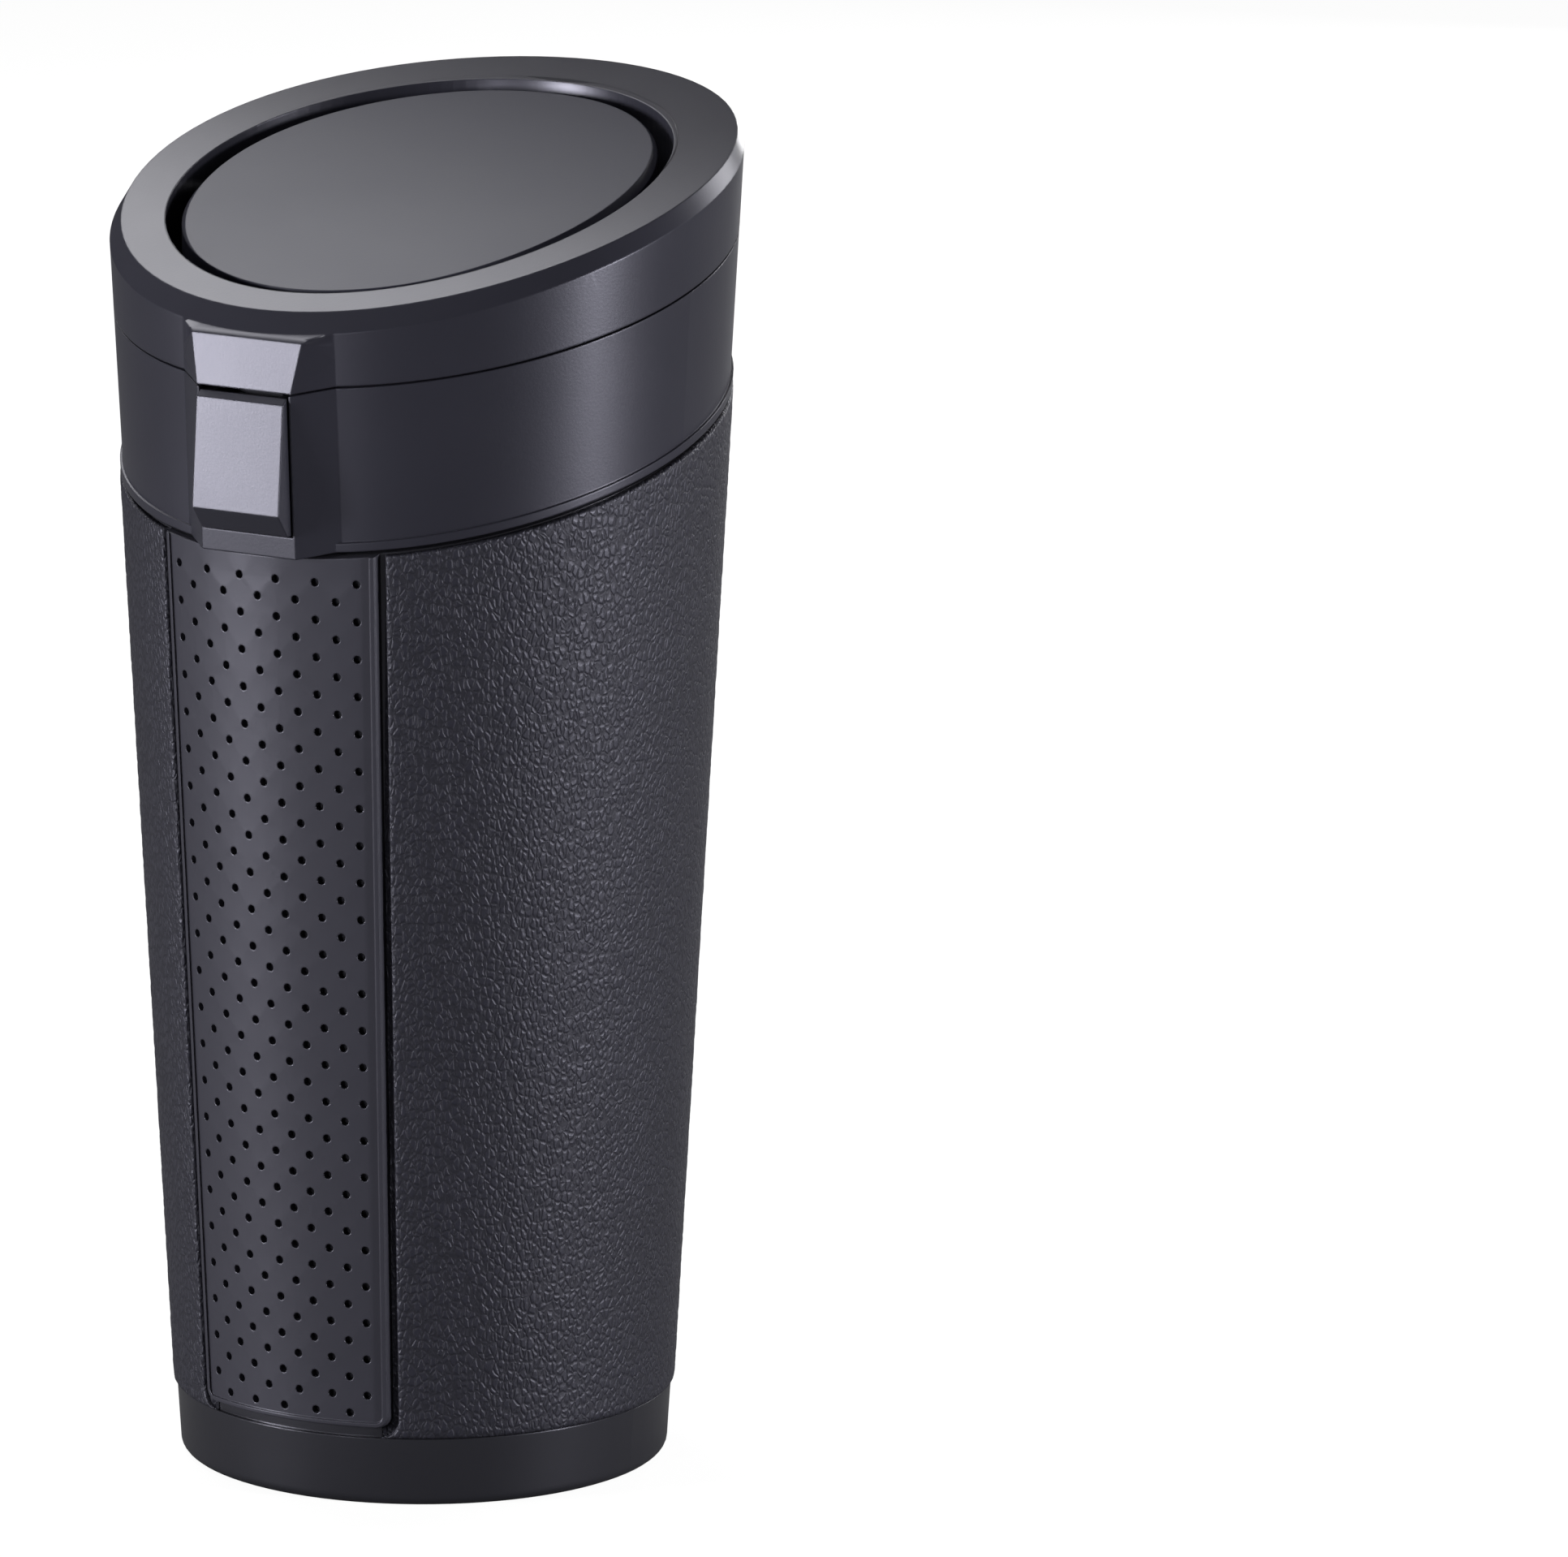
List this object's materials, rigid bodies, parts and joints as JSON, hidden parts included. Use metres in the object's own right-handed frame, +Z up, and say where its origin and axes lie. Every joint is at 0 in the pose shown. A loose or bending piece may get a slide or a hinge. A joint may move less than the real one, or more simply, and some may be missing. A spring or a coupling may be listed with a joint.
{
  "type": "car waste bin",
  "caption": "Tapered cup-holder waste bin for a car, leather-wrapped, with a tilted flip lid, front push button and sprung round flap.",
  "frame": {"origin": "middle of the base, on the surface the bin stands on", "axes": "+Z up, front with the button towards -Y, hinge towards +Y, +X to the right seen from the front"},
  "size_m": [0.0858, 0.0946, 0.1876],
  "materials": {
    "body_plastic": "smooth moulded, satin",
    "head_plastic": "fine spark-eroded texture, matte",
    "inner_plastic": "plain moulded",
    "leather": "pebble grain, low sheen",
    "strip": "smooth, perforated, satin",
    "seal_rubber": "matte",
    "steel": "bright zinc"
  },
  "bodies": {
    "base": {"body_shell": "body_plastic", "leather_wrap": "leather", "front_strip": "strip", "bag_ring": "inner_plastic", "collar": "head_plastic", "rim_seal": "seal_rubber", "latch_housing": "inner_plastic", "housing_screws": "steel", "button_spring": "steel", "hinge_pin": "steel", "hinge_spring": "steel"},
    "lid": {"lid_cover": "head_plastic", "lid_liner": "inner_plastic", "lid_screws": "steel", "flap_spring": "steel"},
    "button": {"button": "head_plastic"},
    "flap": {"flap_cover": "head_plastic", "flap_back": "inner_plastic", "flap_axle": "steel"}
  },
  "joints": [
    {"name": "lid_hinge", "type": "hinge", "parent": "base", "child": "lid", "pos_m": [0, 0.04602, 0.17676], "axis": [-1, 0, 0], "range_deg": [0, 95], "deforming": ["hinge_spring"]},
    {"name": "button_press", "type": "slide", "parent": "base", "child": "button", "axis": [0, 1, 0], "range_m": [0, 0.0022], "stiffness_N_per_m": 900, "springref_m": -0.001, "deforming": ["button_spring"]},
    {"name": "flap_swing", "type": "hinge", "parent": "lid", "child": "flap", "pos_m": [0, -0.0012, 0.17217], "axis": [1, 0, 0], "range_deg": [0, 50], "stiffness_Nm_per_rad": 0.02, "springref_deg": -34.38, "deforming": ["flap_spring"]}
  ]
}
